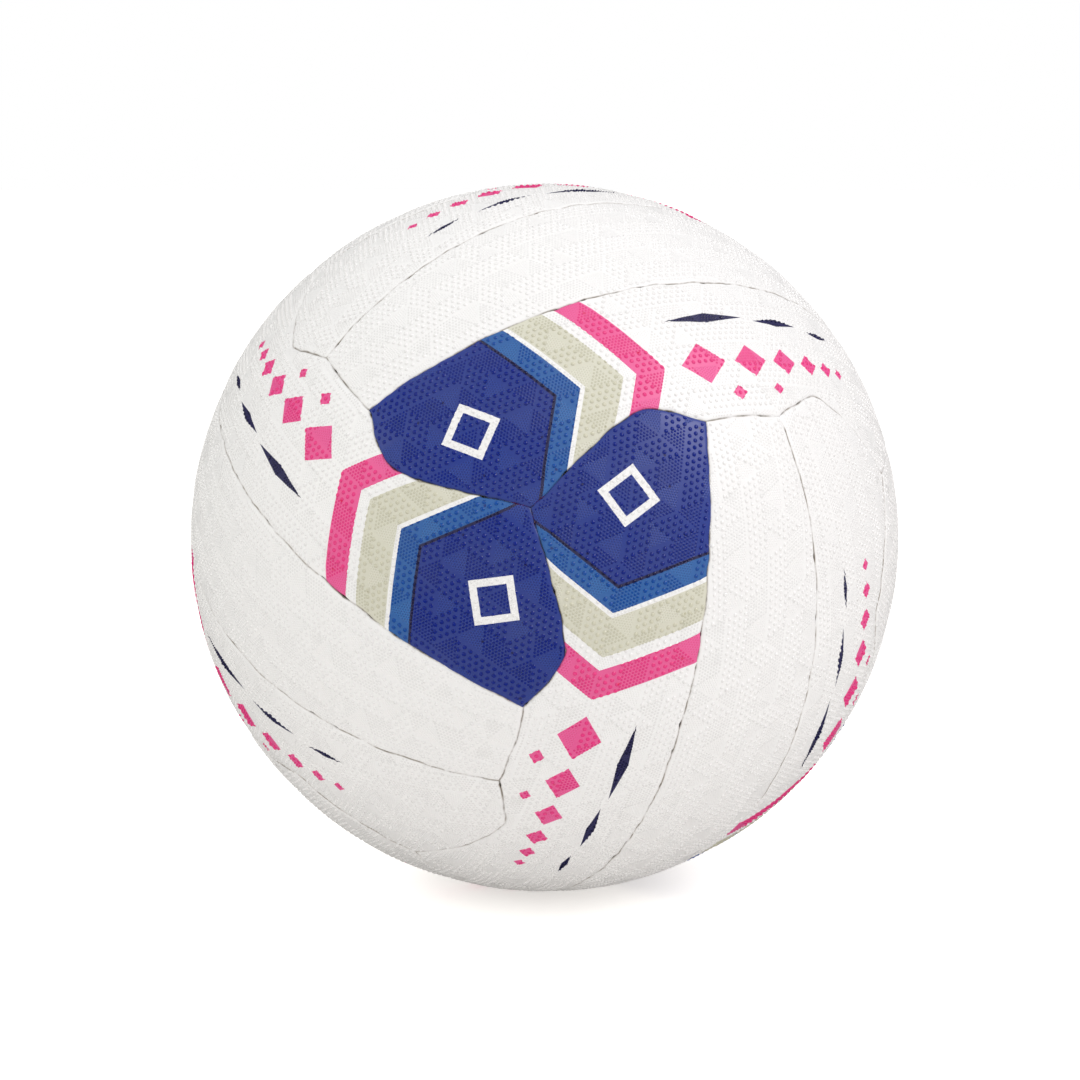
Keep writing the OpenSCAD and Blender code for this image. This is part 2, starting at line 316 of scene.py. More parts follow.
# %% Make a blank from an outline
def make_blank(name, outline):
    start_clean()
    bpy.ops.mesh.primitive_circle_add(vertices=len(outline["at"]), radius=1, fill_type="NGON")
    piece = bpy.context.object
    piece.name = piece.data.name = name
    rim = np.pad(outline["at"], ((0, 0), (0, 1)), constant_values=-thickness)
    set_points(piece.data, rim)
    bpy.ops.object.mode_set(mode="EDIT")
    bpy.ops.mesh.select_mode(type="FACE")
    bpy.ops.mesh.select_all(action="SELECT")
    bpy.ops.mesh.extrude_region_move(TRANSFORM_OT_translate={"value": (0, 0, thickness)})
    bpy.ops.mesh.select_all(action="SELECT")
    bpy.ops.mesh.normals_make_consistent(inside=False)
    pick_upper_faces(piece)
    for width in INSETS:
        bpy.ops.mesh.inset(thickness=width, depth=0, use_even_offset=True)
    low, high = outline["at"].min(axis=0), outline["at"].max(axis=0)
    for axis in (0, 1):
        normal = [1 if k == axis else 0 for k in range(3)]
        count = math.ceil((high[axis] - low[axis]) / CUT_STEP)
        for i in range(1, count):
            place = low[axis] + (high[axis] - low[axis]) * i / count
            bpy.ops.mesh.select_all(action="SELECT")
            bpy.ops.mesh.bisect(plane_co=[place * n for n in normal], plane_no=normal)
    bpy.ops.object.mode_set(mode="OBJECT")
    return piece


outer_blank = make_blank("outer_blank", outer_outline)
middle_blank = make_blank("middle_blank", middle_outline)
print("faces of a blank:", len(outer_blank.data.polygons), len(middle_blank.data.polygons))

# %% [markdown]
# ## The hole for the valve
#
# One middle strip has a hole for the valve's neck. The neck is measured on its part, by how far its points
# lie along the valve's direction and off it. A round bar is taken from a copy of the blank with a boolean,
# and the upper rim of the hole is beveled, as a punched and buffed edge is.

# %% Measure the valve's neck
NECK_BAND = 0.2 * mm
NECK_GAP = 0.15 * mm
core_middle = node_points("valve_core").mean(axis=0)
valve_way = core_middle / np.linalg.norm(core_middle)


def along_and_off(name):
    points = node_points(name)
    along = points @ valve_way
    return along, np.linalg.norm(points - np.outer(along, valve_way), axis=1)


def widest(name, low, high):
    along, off = along_and_off(name)
    return off[(along > low) & (along < high)].max()


seat_top = along_and_off("valve_seat")[0].max()
neck_r = widest("valve_seat", seat_top - NECK_BAND, ball_r)
hole_r = neck_r + NECK_GAP
print("neck radius %.2f mm, hole radius %.2f mm" % (neck_r / mm, hole_r / mm))

# %% Cut the valve's hole
HOLE_SIDES = 48
HOLE_BEVEL = 0.5 * mm
PUNCH_DEPTH = 8 * thickness
RIM_DEPTH = 0.1 * mm
RIM_SLIP = 0.05 * mm

start_clean()
valve_blank = middle_blank.copy()
valve_blank.data = middle_blank.data.copy()
valve_blank.name = valve_blank.data.name = "valve_blank"
bpy.context.collection.objects.link(valve_blank)
bpy.ops.mesh.primitive_cylinder_add(vertices=HOLE_SIDES, radius=hole_r, depth=PUNCH_DEPTH)
punch = bpy.context.object
start_clean()
valve_blank.select_set(True)
bpy.context.view_layer.objects.active = valve_blank
cut = valve_blank.modifiers.new("hole", "BOOLEAN")
cut.object = punch
cut.operation = "DIFFERENCE"
cut.solver = "EXACT"
bpy.ops.object.modifier_apply(modifier=cut.name)
bpy.data.objects.remove(punch)
bpy.ops.object.mode_set(mode="EDIT")
bpy.ops.mesh.select_mode(type="EDGE")
bpy.ops.mesh.select_all(action="DESELECT")
bpy.ops.object.mode_set(mode="OBJECT")
for edge in valve_blank.data.edges:
    ends = [valve_blank.data.vertices[i].co for i in edge.vertices]
    edge.select = all(p.z > -RIM_DEPTH and abs(p.xy.length - hole_r) < RIM_SLIP for p in ends)
print("edges round the valve's hole:", sum(e.select for e in valve_blank.data.edges))
bpy.ops.object.mode_set(mode="EDIT")
bpy.ops.mesh.bevel(offset=HOLE_BEVEL, segments=3, affect="EDGES")
bpy.ops.object.mode_set(mode="OBJECT")

# %% [markdown]
# ## Roll the edges in
#
# At a seam the cover rolls in over the stitches, and the cover beside it is pulled down a little. Both depend
# on how far a point is from the outline, so one helper finds the nearest place on the outline for many points
# at a time, with its roll, its sink and its place along the seam.

# %% Find the nearest place on an outline
POINTS_AT_ONCE = 3000


def nearest(outline, places):
    """Distance to the outline, place and inward way there, and the outline's values, for flat places."""
    a = outline["at"]
    b = np.roll(a, -1, axis=0)
    step = b - a
    length2 = (step**2).sum(axis=1)
    found = {key: [] for key in ("distance", "place", "inward", "roll", "sink", "run")}
    for first in range(0, len(places), POINTS_AT_ONCE):
        p = places[first : first + POINTS_AT_ONCE]
        share = np.clip(((p[:, None] - a) * step).sum(axis=2) / length2, 0, 1)
        gap = np.linalg.norm(p[:, None] - a - share[:, :, None] * step, axis=2)
        i = gap.argmin(axis=1)
        rows = np.arange(len(p))
        t = share[rows, i]
        found["distance"].append(gap[rows, i])
        found["place"].append(a[i] + t[:, None] * step[i])
        found["inward"].append(np.stack([-step[i, 1], step[i, 0]], axis=1) / np.sqrt(length2[i])[:, None])
        for key in ("roll", "sink", "run"):
            value = outline[key]
            found[key].append(value[i] * (1 - t) + np.roll(value, -1)[i] * t)
    return {key: np.concatenate(value) for key, value in found.items()}


# %% Height beside a seam
ROLL_W = 1.2 * mm
SINK_W = 5 * mm


def edge_height(near):
    """Height of the cover's skin beside a seam, from its level in the middle of a panel: zero or less."""
    inside = np.clip(1 - near["distance"] / ROLL_W, 0, 1)
    roll = (1 - np.sqrt(1 - inside**2) + inside**2) / 2
    sink = np.exp(-near["distance"] / SINK_W) * (1 - roll / 2)
    return -near["roll"] * roll - near["sink"] * sink


print("edges roll in over %.1f mm" % (ROLL_W / mm))

# %% [markdown]
# ## Grip pimples
#
# The rubber is moulded with three kinds of grip: large round pimples, small ones half as far apart, and a
# fine grain that is left to the material. They lie in triangles on one lattice. Each pimple is modelled once
# from a disc, extruded up and drawn together at the top, and then copied to every place that its triangles
# give it.

# %% Model the two pimples
SMALL_PITCH = 1.03 * mm
LARGE_R = 0.66 * mm
LARGE_SIDES = 8
LARGE_SHOULDER_SHARES = (0.7, 0.64)
SMALL_R = 0.41 * mm
SMALL_H = 0.25 * mm
SMALL_SIDES = 6
PIMPLE_ROOT = 0.05 * mm


def make_pimple(name, sides, radius, height, shoulder):
    """A closed dome, rooted a little under the skin. shoulder: width and height shares of its upper ring."""
    start_clean()
    root = (0, 0, -PIMPLE_ROOT)
    bpy.ops.mesh.primitive_circle_add(vertices=sides, radius=radius, fill_type="NGON", location=root)
    piece = bpy.context.object
    piece.name = name
    bpy.ops.object.transform_apply(location=True)
    bpy.ops.object.mode_set(mode="EDIT")
    bpy.ops.mesh.select_mode(type="FACE")
    bpy.ops.mesh.select_all(action="SELECT")
    left = height + PIMPLE_ROOT
    if shoulder:
        width, share = shoulder
        bpy.ops.mesh.extrude_region_move(TRANSFORM_OT_translate={"value": (0, 0, left * share)})
        bpy.ops.transform.resize(value=(width, width, 1))
        left -= left * share
    bpy.ops.mesh.extrude_region_move(TRANSFORM_OT_translate={"value": (0, 0, left)})
    bpy.ops.mesh.merge(type="CENTER")
    bpy.ops.mesh.select_all(action="SELECT")
    bpy.ops.mesh.normals_make_consistent(inside=False)
    bpy.ops.object.mode_set(mode="OBJECT")
    arrays = mesh_arrays(piece)
    bpy.data.objects.remove(piece)
    return arrays


large_pimple = make_pimple("large_pimple", LARGE_SIDES, LARGE_R, PIMPLE_H, LARGE_SHOULDER_SHARES)
small_pimple = make_pimple("small_pimple", SMALL_SIDES, SMALL_R, SMALL_H, None)
print("faces of a large and a small pimple:", len(large_pimple[1]), len(small_pimple[1]))

# %% [markdown]
# The lattice is counted in steps of the small pitch along two slanted directions. Eight steps make the side
# of a triangle. What grip a triangle has comes from a sum of its counts, so that the kinds mix without a
# table, and the material can work out the same sum for its fine grain.

# %% Give each kind of pimple its places
TRIANGLE_STEPS = 8
ROW_SHARE = math.sqrt(3) / 2
LATTICE_SPARE = 1.4
KIND_ALONG = 2
KIND_ACROSS = 3
KIND_UPPER = 4
KIND_CYCLE = 7
SMALL_KINDS = (0, 5)
FINE_KIND = 3
PIMPLE_MARGIN = 0.8 * mm
VALVE_MARGIN = 1.6 * mm


def inside_of(outline, places):
    """Which flat places lie within an outline, by counting the sides that a ray crosses."""
    a = outline["at"]
    b = np.roll(a, -1, axis=0)
    above = (a[:, 1] > places[:, 1:2]) != (b[:, 1] > places[:, 1:2])
    rise = np.where(b[:, 1] == a[:, 1], 1, b[:, 1] - a[:, 1])
    at = a[:, 0] + (places[:, 1:2] - a[:, 1]) * (b[:, 0] - a[:, 0]) / rise
    return (above & (places[:, 0:1] < at)).sum(axis=1) % 2 == 1


def pimple_places(outline, hole=0.0):
    """Flat places of the large and of the small pimples of a panel. hole is the radius of a hole in it."""
    reach = int(np.abs(outline["at"]).max() / SMALL_PITCH * LATTICE_SPARE)
    i, j = np.meshgrid(np.arange(-reach, reach), np.arange(-reach, reach), indexing="ij")
    i, j = i.ravel(), j.ravel()
    places = SMALL_PITCH * np.stack([i + j / 2, j * ROW_SHARE], axis=1)
    low, high = outline["at"].min(axis=0), outline["at"].max(axis=0)
    fits = ((places > low) & (places < high)).all(axis=1)
    i, j, places = i[fits], j[fits], places[fits]
    fits = inside_of(outline, places)
    i, j, places = i[fits], j[fits], places[fits]
    upper = ((i % TRIANGLE_STEPS) + (j % TRIANGLE_STEPS) >= TRIANGLE_STEPS).astype(int)
    counts = KIND_ALONG * (i // TRIANGLE_STEPS) + KIND_ACROSS * (j // TRIANGLE_STEPS) + KIND_UPPER * upper
    kind = counts % KIND_CYCLE
    small = np.isin(kind, SMALL_KINDS)
    large = ~small & (kind != FINE_KIND) & (i % 2 == 0) & (j % 2 == 0)
    free = nearest(outline, places)["distance"] > PIMPLE_MARGIN
    if hole:
        free &= np.linalg.norm(places, axis=1) > hole + VALVE_MARGIN
    return places[large & free], places[small & free]


for name, outline in (("outer", outer_outline), ("middle", middle_outline)):
    print("pimples on", name, "panel:", [len(p) for p in pimple_places(outline)])

# %% [markdown]
# ## A master panel of each kind
#
# The blank gets its rolled edge, the pimples are joined to it, and the flat places become its UV map, scaled
# so that the map can also be painted: the outside lies in the upper half of the map and the inside in the
# lower. Each master also remembers, point by point, the nearest place of its seam, for the last step.

# %% Lay the map on a blank
MAP_SIDE = 220 * mm
MAP_MIDDLE = 0.5
OUTSIDE_V = 0.75
INSIDE_V = 0.25
WALL_MAP_W = 0.4 * mm
LOOKS_OUT = 0.2
UV_NAME = "OFBake"


def write_map(mesh, places):
    """Writes one map place for each corner of the mesh."""
    layer = mesh.uv_layers.new(name=UV_NAME)
    layer.data.foreach_set("uv", places.astype(np.float32).ravel())


def corner_points(mesh):
    """Which point each corner of the mesh belongs to."""
    index = np.empty(len(mesh.loops), int)
    mesh.loops.foreach_get("vertex_index", index)
    return index


def map_of(places, v_middle):
    return places / MAP_SIDE + np.array([MAP_MIDDLE, v_middle])


def map_blank(piece, outline):
    """Maps the outside to the upper half of the map, and the inside with the wall as its rim to the lower."""
    mesh = piece.data
    points, _ = mesh_arrays(piece)
    corner = corner_points(mesh)
    flat_places = points[corner, :2]
    corners = [len(f.vertices) for f in mesh.polygons]
    outside = np.repeat([f.normal.z > LOOKS_OUT for f in mesh.polygons], corners)
    near = nearest(outline, flat_places)
    on_wall = (points[corner, 2] > -thickness / 2) & (near["distance"] < INSETS[0] / 2)
    walled = flat_places - near["inward"] * WALL_MAP_W * on_wall[:, None]
    uv = np.where(outside[:, None], map_of(flat_places, OUTSIDE_V), map_of(walled, INSIDE_V))
    write_map(mesh, uv)


print("the map is %.0f mm wide" % (MAP_SIDE / mm))

# %% Build the masters
NEAR_EDGE = 3 * mm
SMOOTH_DEGREES = 50


def copies_of(shape, places):
    """Points and faces of many copies of a shape, one on each flat place."""
    points, faces = shape
    size = len(points)
    spots = np.pad(places, ((0, 0), (0, 1)))
    all_points = (spots[:, None] + points).reshape(-1, 3)
    all_faces = [tuple(v + k * size for v in face) for k in range(len(places)) for face in faces]
    return all_points, all_faces


def grow_pimples(name, shape, outline, places):
    """All pimples of one size. Near the edge each point follows its roll, else a pimple stays upright."""
    grown, faces = copies_of(shape, places)
    middle = np.repeat(places, len(shape[0]), axis=0)
    far = np.repeat(nearest(outline, places)["distance"] > NEAR_EDGE, len(shape[0]))
    follow = nearest(outline, np.where(far[:, None], middle, grown[:, :2]))
    grown[:, 2] += edge_height(follow)
    mesh = bpy.data.meshes.new(name)
    mesh.from_pydata(grown.tolist(), [], faces)
    mark = mesh.attributes.new("pimple", "FLOAT", "POINT")
    mark.data.foreach_set("value", np.ones(len(grown), np.float32))
    write_map(mesh, map_of(grown[corner_points(mesh), :2], OUTSIDE_V))
    piece = bpy.data.objects.new(mesh.name, mesh)
    bpy.context.collection.objects.link(piece)
    return piece


def make_master(name, blank, outline, hole=0.0):
    start_clean()
    map_blank(blank, outline)
    points, _ = mesh_arrays(blank)
    near = nearest(outline, points[:, :2])
    upper = points[:, 2] > -thickness / 2
    points[upper, 2] += edge_height(near)[upper]
    set_points(blank.data, points)
    blank.data.attributes.new("pimple", "FLOAT", "POINT")
    for shape, places in zip((large_pimple, small_pimple), pimple_places(outline, hole)):
        grow_pimples(name + "_pimples", shape, outline, places).select_set(True)
    blank.select_set(True)
    bpy.context.view_layer.objects.active = blank
    bpy.ops.object.join()
    bpy.ops.object.mode_set(mode="EDIT")
    bpy.ops.mesh.select_all(action="SELECT")
    bpy.ops.mesh.quads_convert_to_tris(quad_method="BEAUTY", ngon_method="BEAUTY")
    bpy.ops.object.mode_set(mode="OBJECT")
    bpy.ops.object.shade_smooth_by_angle(angle=math.radians(SMOOTH_DEGREES))
    points, _ = mesh_arrays(blank)
    near = nearest(outline, points[:, :2])
    dirt = blank.data.attributes.new("seam_distance", "FLOAT", "POINT")
    dirt.data.foreach_set("value", (near["distance"] / mm).astype(np.float32))
    print(name, "has", len(blank.data.polygons), "faces")
    return {"piece": blank, "points": points, "near": near}


masters = {
    "outer": make_master("outer_panel", outer_blank, outer_outline),
    "middle": make_master("middle_panel", middle_blank, middle_outline),
    "valve": make_master("valve_panel", valve_blank, middle_outline, hole_r),
}

# %% [markdown]
# ## Bend the panels round the ball
#
# A flat place becomes a direction from the centre, and its height is added to the ball's radius. No two seams
# on a sewn ball are quite alike, so each panel gets its own unevenness after it is in place. It is a sum of
# soft waves in space, read at the nearest point of the seam, so that both sides of a seam move together. At
# each stitch the thread pulls the cover down and the gap opens a little, and between two stitches the gap is
# nearly closed. The stitches are counted from the corners, and on a side seam from both of its ends, so that
# two panels that share a seam agree on them.

# %% Waves in space and the bending itself
WAVE_SPREAD_SHARES = (0.7, 1.3)


def waves(points, length, seed, count=9):
    """A smooth uneven value of about one, up and down, whose waves have that length."""
    random = np.random.default_rng(seed)
    ways = random.normal(size=(count, 3))
    pace = (2 * math.pi / length) * random.uniform(*WAVE_SPREAD_SHARES, (count, 1))
    ways *= pace / np.linalg.norm(ways, axis=1, keepdims=True)
    phases = random.uniform(0, 2 * math.pi, count)
    return np.sin(points @ ways.T + phases).sum(axis=1) / math.sqrt(count / 2)


def bent(places, heights, centre_angle):
    """Points in a block's frame for flat places and their heights over the skin."""
    along, across = places[:, 0] / ball_r, places[:, 1] / ball_r
    x, out, z = np.sin(across), np.cos(across) * np.cos(along), np.cos(across) * np.sin(along)
    c, s = math.cos(math.radians(centre_angle)), math.sin(math.radians(centre_angle))
    ways = np.stack([c * x + s * out, -s * x + c * out, z], axis=1)
    return ways * (skin_r + heights)[:, None]


# %% How a seam sways over the ball
SWAY_W = 3 * mm
SWAY_SEEDS = (11, 12, 13)
LONG_SWAY = 0.15 * mm
LONG_SWAY_WAVE = 12 * mm
SHORT_SWAY = 0.07 * mm
SHORT_SWAY_WAVE = 5 * mm
SHORT_SEED_STEP = 3


def sway_of(seam, out, distance):
    """How far each point moves along the ball with its place on the seam."""
    ways = []
    for seed in SWAY_SEEDS:
        long_part = LONG_SWAY * waves(seam, LONG_SWAY_WAVE, seed)
        ways.append(long_part + SHORT_SWAY * waves(seam, SHORT_SWAY_WAVE, seed + SHORT_SEED_STEP))
    sway = np.stack(ways, axis=1)
    sway -= (sway * out).sum(axis=1, keepdims=True) * out
    return sway * np.exp(-((distance / SWAY_W) ** 2))[:, None]


print("seams sway by about %.2f mm" % ((LONG_SWAY + SHORT_SWAY) / mm))

# %% How stitches pull on a seam
STITCH_PITCH = 9.3 * mm
PLAIN_WAVE_SHARE = 0.7
GAP_LEAST = 0.005 * mm
GAP_LOOSE = 0.015 * mm
GAP_STITCH = 0.17 * mm
GAP_W = 1.6 * mm
GAP_FROM = 0.55
GAP_RISE = 0.35
LOOSE_WAVE = 23 * mm
LOOSE_SEED = 21
LOOSE_MIDDLE = 0.5
LOOSE_SWING = 0.7
LOOSE_MOST = 1.4
SLACK_WAVE = 8 * mm
SLACK_SEED = 22
SLACK_MIDDLE = 0.6
SLACK_SWING = 0.7
SLACK_MOST = 1.5
PUCKER_H = 0.10 * mm
PUCKER_W = 1.8 * mm


def stitch_at(run):
    """One on a stitch and less than zero between two. The first lies half a pitch from the seam's start."""
    turn = 2 * math.pi * (run / STITCH_PITCH + 0.5)
    return PLAIN_WAVE_SHARE * np.cos(turn) + (1 - PLAIN_WAVE_SHARE) * np.cos(2 * turn)


def pull_of(seam, run, distance):
    """How far each point draws back from the gap, and how deep the pucker of its stitch is."""
    stitch = stitch_at(run)
    loose = np.clip(LOOSE_MIDDLE + LOOSE_SWING * waves(seam, LOOSE_WAVE, LOOSE_SEED), 0, LOOSE_MOST)
    slack = np.clip(SLACK_MIDDLE + SLACK_SWING * waves(seam, SLACK_WAVE, SLACK_SEED), 0, SLACK_MOST)
    open_share = np.clip((stitch - GAP_FROM) / GAP_RISE, 0, 1)
    gap = GAP_LEAST + GAP_LOOSE * loose + GAP_STITCH * slack * open_share
    pucker = PUCKER_H * slack * stitch * np.exp(-distance / PUCKER_W)
    return gap * np.clip(1 - distance / GAP_W, 0, 1), pucker


print("stitches lie %.1f mm apart" % (STITCH_PITCH / mm))

# %% Bend one panel
SOFT_LUMP = 0.05 * mm
SOFT_LUMP_WAVE = 30 * mm
SOFT_LUMP_SEED = 31
LUMP_DROP = 0.06 * mm
SEAM_LUMP = 0.06 * mm
SEAM_LUMP_WAVE = 9 * mm
SEAM_LUMP_SEED = 32
SEAM_LUMP_W = 4 * mm
UPPER_SHARE = 0.95


def bend_panel(master, block, strip):
    """Final points of a panel in its place, with its own uneven seams. Its inner face keeps its height."""
    points, near = master["points"], master["near"]
    angle = 0 if strip == MIDDLE else STRIP_ANGLE
    turn = strip_turn(block, strip).T
    placed = bent(points[:, :2], points[:, 2], angle) @ turn
    level = np.zeros(len(points))
    seam = bent(near["place"], level, angle) @ turn
    inward = (bent(near["place"] + near["inward"] * mm, level, angle) @ turn - seam) / mm
    out = placed / np.linalg.norm(placed, axis=1, keepdims=True)
    distance = near["distance"]
    drawn_back, pucker = pull_of(seam, near["run"], distance)
    beside_seam = SEAM_LUMP * waves(seam, SEAM_LUMP_WAVE, SEAM_LUMP_SEED) * np.exp(-distance / SEAM_LUMP_W)
    lumps = SOFT_LUMP * waves(placed, SOFT_LUMP_WAVE, SOFT_LUMP_SEED) - LUMP_DROP + beside_seam
    upper = points[:, 2] > -UPPER_SHARE * thickness
    placed += sway_of(seam, out, distance)
    placed += inward * drawn_back[:, None]
    placed += out * ((np.minimum(lumps, 0) - pucker) * upper)[:, None]
    return placed


print("soft lumps come about every %.0f mm" % (SOFT_LUMP_WAVE / mm))

# %% Make the eighteen panels
VALVE_BLOCK = BLOCKS.index("far_left")


def make_panel(block, strip):
    node = "cover_%s_%s" % (BLOCKS[block], STRIPS[strip])
    kind = "outer" if strip != MIDDLE else "valve" if block == VALVE_BLOCK else "middle"
    mesh = masters[kind]["piece"].data.copy()
    mesh.name = "panel_%s_%s" % (BLOCKS[block], STRIPS[strip])
    set_points(mesh, bend_panel(masters[kind], block, strip))
    piece = bpy.data.objects.new(mesh.name, mesh)
    bpy.context.collection.objects.link(piece)
    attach(piece, "root")
    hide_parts(node)
    return piece


panels = {(b, s): make_panel(b, s) for b in range(len(BLOCKS)) for s in range(len(STRIPS))}
for master in masters.values():
    bpy.data.objects.remove(master["piece"])
print("panels:", len(panels), "with", sum(len(p.data.polygons) for p in panels.values()), "faces")

# %% [markdown]
# ## Finishes
#
# What several materials share is a node group: here a soft unevenness, which tints a surface in clouds and
# makes it a little rougher or smoother there. The helpers below keep the node building short.


# %% Helpers for materials
class Nodes:
    """Builds nodes in one tree and links plain numbers or sockets to their inputs."""

    def __init__(self, tree):
        self.tree = tree

    def add(self, kind, inputs=(), **settings):
        node = self.tree.nodes.new(kind)
        for key, value in settings.items():
            setattr(node, key, value)
        for key, value in dict(inputs).items():
            self.put(node.inputs[key], value)
        return node

    def put(self, socket, value):
        if isinstance(value, bpy.types.NodeSocket):
            self.tree.links.new(value, socket)
        else:
            socket.default_value = value

    def math(self, operation, a, b=None, c=None):
        values = {k: v for k, v in enumerate((a, b, c)) if v is not None}
        return self.add("ShaderNodeMath", values, operation=operation).outputs[0]

    def mix(self, share, a, b, blend="MIX"):
        node = self.add("ShaderNodeMix", data_type="RGBA", blend_type=blend)
        self.put(node.inputs["Factor"], share)
        self.put(node.inputs["A"], a)
        self.put(node.inputs["B"], b)
        return node.outputs["Result"]

    def between(self, value, low, high):
        """One where value is from low to high, else zero."""
        above = self.math("GREATER_THAN", value, low)
        return self.math("MULTIPLY", above, self.math("LESS_THAN", value, high))


def srgb(red, green, blue):
    """A colour written as the eye reads it, from 0 to 255, as light values."""
    values = [c / 255 for c in (red, green, blue)]
    return tuple(c / 12.92 if c <= 0.04045 else ((c + 0.055) / 1.055) ** 2.4 for c in values) + (1,)


def new_group(name, inputs, outputs):
    tree = bpy.data.node_groups.new(name, "ShaderNodeTree")
    for label, kind, value in inputs:
        socket = tree.interface.new_socket(label, in_out="INPUT", socket_type=kind)
        if value is not None:
            socket.default_value = value
    for label, kind in outputs:
        tree.interface.new_socket(label, in_out="OUTPUT", socket_type=kind)
    nodes = Nodes(tree)
    return tree, nodes, nodes.add("NodeGroupInput").outputs, nodes.add("NodeGroupOutput").inputs


def new_material(name, roughness, **plain):
    material = bpy.data.materials.new(name)
    material.use_nodes = True
    nodes = Nodes(material.node_tree)
    shader = material.node_tree.nodes["Principled BSDF"]
    shader.inputs["Roughness"].default_value = roughness
    for key, value in plain.items():
        shader.inputs[key.replace("_", " ")].default_value = value
    return material, nodes, shader


def use_group(nodes, tree, inputs):
    node = nodes.add("ShaderNodeGroup", node_tree=tree)
    for key, value in inputs.items():
        nodes.put(node.inputs[key], value)
    return node.outputs


# %% Shared effect: soft unevenness
CLOUD_MIDDLE = 0.5
TINT_FROM = 0.35
TINT_SOFT = 0.1
ROUGH_SPREAD = 0.25

uneven, n, given, result = new_group(
    "soft_unevenness",
    [
        ("Vector", "NodeSocketVector", None),
        ("Size", "NodeSocketFloat", 20 * mm),
        ("Tint", "NodeSocketColor", (1, 1, 1, 1)),
        ("Colour", "NodeSocketColor", (1, 1, 1, 1)),
        ("Amount", "NodeSocketFloat", 0.5),
        ("Roughness", "NodeSocketFloat", 0.5),
    ],
    [("Colour", "NodeSocketColor"), ("Roughness", "NodeSocketFloat")],
)
scale = n.math("DIVIDE", 1.0, given["Size"])
noise = {"Vector": given["Vector"], "Scale": scale, "Detail": 4.0, "Roughness": 0.6}
cloud = n.add("ShaderNodeTexNoise", noise).outputs["Fac"]
thick = n.math("SMOOTH_MAX", n.math("SUBTRACT", cloud, TINT_FROM), 0.0, TINT_SOFT)
n.put(result["Colour"], n.mix(n.math("MULTIPLY", thick, given["Amount"]), given["Colour"], given["Tint"]))
rougher = n.math("MULTIPLY", n.math("SUBTRACT", cloud, CLOUD_MIDDLE), ROUGH_SPREAD)
n.put(result["Roughness"], n.math("ADD", given["Roughness"], rougher))
print("groups:", [g.name for g in bpy.data.node_groups])


# %% Wire a finish to its shader
def put_worn(nodes, shader, place, size, colour, tint, amount, roughness):
    """Gives the shader a colour and a roughness with soft unevenness. size is that of its clouds."""
    given = {"Vector": place, "Size": size, "Colour": colour, "Tint": tint, "Amount": amount}
    worn = use_group(nodes, uneven, {**given, "Roughness": roughness})
    nodes.put(shader.inputs["Base Color"], worn["Colour"])
    nodes.put(shader.inputs["Roughness"], worn["Roughness"])


def put_bump(nodes, shader, height, strength):
    """Gives the shader a bump. height is in metres."""
    bump = nodes.add("ShaderNodeBump", {"Height": height, "Distance": 1.0, "Strength": strength})
    nodes.put(shader.inputs["Normal"], bump.outputs[0])


def object_place(nodes):
    return nodes.add("ShaderNodeTexCoord").outputs["Object"]


# %% [markdown]
# ## The pimpled rubber
#
# The rubber is white, satin and a little uneven. Its finest grip is a grain of dots about four fifths of a
# millimetre apart, too fine to model, so it is a bump made of three waves. The grain lies only in its own
# triangles, which the group finds with the same sum as the pimples do.

# %% Shared effect: fine grip grain
FINE_ROW = 2 * SMALL_PITCH / 3
SAME_KIND = 0.25

grain, n, given, result = new_group(
    "fine_grip",
    [("Along", "NodeSocketFloat", 0.0), ("Across", "NodeSocketFloat", 0.0)],
    [("Height", "NodeSocketFloat")],
)
triangle = TRIANGLE_STEPS * SMALL_PITCH
slant = n.math("DIVIDE", given["Across"], triangle * ROW_SHARE)
along = n.math("SUBTRACT", n.math("DIVIDE", given["Along"], triangle), n.math("MULTIPLY", slant, 0.5))
count_i, count_j = n.math("FLOOR", along), n.math("FLOOR", slant)
left_over = n.math("ADD", n.math("FRACT", along), n.math("FRACT", slant))
upper = n.math("GREATER_THAN", left_over, 1.0)
total = n.math("ADD", n.math("MULTIPLY", count_i, KIND_ALONG), n.math("MULTIPLY", count_j, KIND_ACROSS))
total = n.math("ADD", total, n.math("MULTIPLY", upper, KIND_UPPER))
kind = n.math("FLOORED_MODULO", total, KIND_CYCLE)
fine = n.math("COMPARE", kind, FINE_KIND, SAME_KIND)
wave = 2 * math.pi / FINE_ROW
first = n.math("COSINE", n.math("MULTIPLY", given["Along"], wave))
half = n.math("MULTIPLY", given["Along"], wave / 2)
rise = n.math("MULTIPLY", given["Across"], wave * ROW_SHARE)
second = n.math("COSINE", n.math("ADD", half, rise))
third = n.math("COSINE", n.math("SUBTRACT", half, rise))
dots = n.math("MULTIPLY", n.math("ADD", first, n.math("ADD", second, third)), 1 / 3)
n.put(result["Height"], n.math("MULTIPLY", dots, fine))
print("groups:", [g.name for g in bpy.data.node_groups])

# %% [markdown]
# The ink is thin on the skin and thick on the pimples, with a few dark specks, so its colour gets a gamma
# that grows with its thickness. Its darker colour on the pimples and on the dots of the fine grain is partly
# thicker ink and partly painted shade, which gives their relief contrast. The rubber is darker down in the
# seams, where hands and floors leave dirt.

# %% Ink and dirt on the rubber
THIN_INK = 0.96
THICK_INK_AND_SHADE = 1.18
GRAIN_INK_AND_SHADE = 0.3
SPECK_INK = 0.6
SPECK_CELL = 17 * mm
SPECK_R = 0.4 * mm
SEAM_DIRT = srgb(150, 138, 122)
DIRT_NEAR = 0.05
DIRT_FAR = 0.4
DIRT_SCALE = 170.0
DIRT_DETAIL = 5.0
DIRT_ROUGHNESS = 0.7
DIRT_LOW = 0.38
DIRT_HIGH = 0.62


